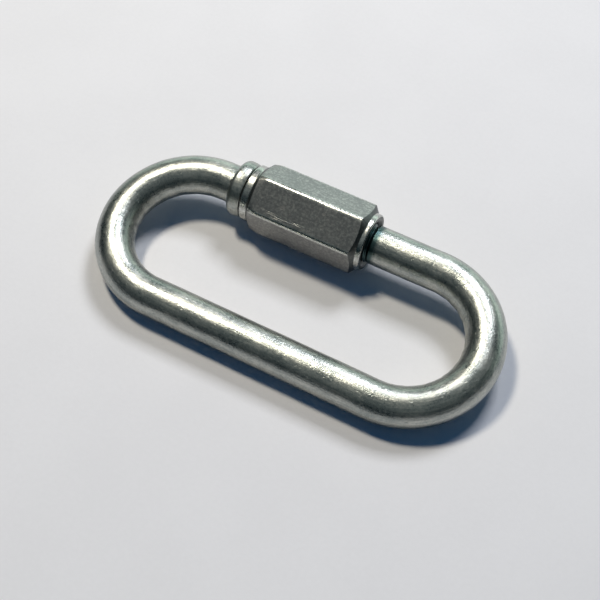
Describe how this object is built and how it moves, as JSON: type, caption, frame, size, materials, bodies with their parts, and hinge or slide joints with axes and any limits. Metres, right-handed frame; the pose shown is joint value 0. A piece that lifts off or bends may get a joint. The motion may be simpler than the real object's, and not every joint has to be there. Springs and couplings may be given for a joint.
{
  "type": "oval screw-lock quick link",
  "caption": "Oval link bent from round steel rod, its gate closed by a long hexagonal sleeve nut that screws against a stop collar.",
  "frame": {"origin": "centre of the link's bounding box, level with the rod's centreline", "axes": "+X along the link, from the stop collar towards the way the nut opens; +Y from the plain side towards the nut side; +Z out of the link's flat"},
  "size_m": [0.0514, 0.0242, 0.0088],
  "materials": {
    "zinc_plated_rod": "zinc plated, satin",
    "zinc_plated_nut": "zinc plated, satin and finely pitted",
    "zinc_plated_bore": "zinc plated, dull"
  },
  "bodies": {
    "link": {"link_body": "zinc_plated_rod"},
    "nut_travel": {"sleeve_bore_ring": "zinc_plated_bore"},
    "nut": {"sleeve_nut": "zinc_plated_nut"}
  },
  "joints": [
    {"name": "nut_slide", "type": "slide", "parent": "link", "child": "nut_travel", "axis": [1, 0, 0], "range_m": [0, 0.0075]},
    {"name": "nut_spin", "type": "hinge", "parent": "nut_travel", "child": "nut", "pos_m": [0, 0.00825, 0], "axis": [1, 0, 0], "range_deg": [0, 3375]}
  ],
  "couplings": [
    {"joint": "nut_spin", "follows": "nut_slide", "rad_per_m": 7854}
  ]
}
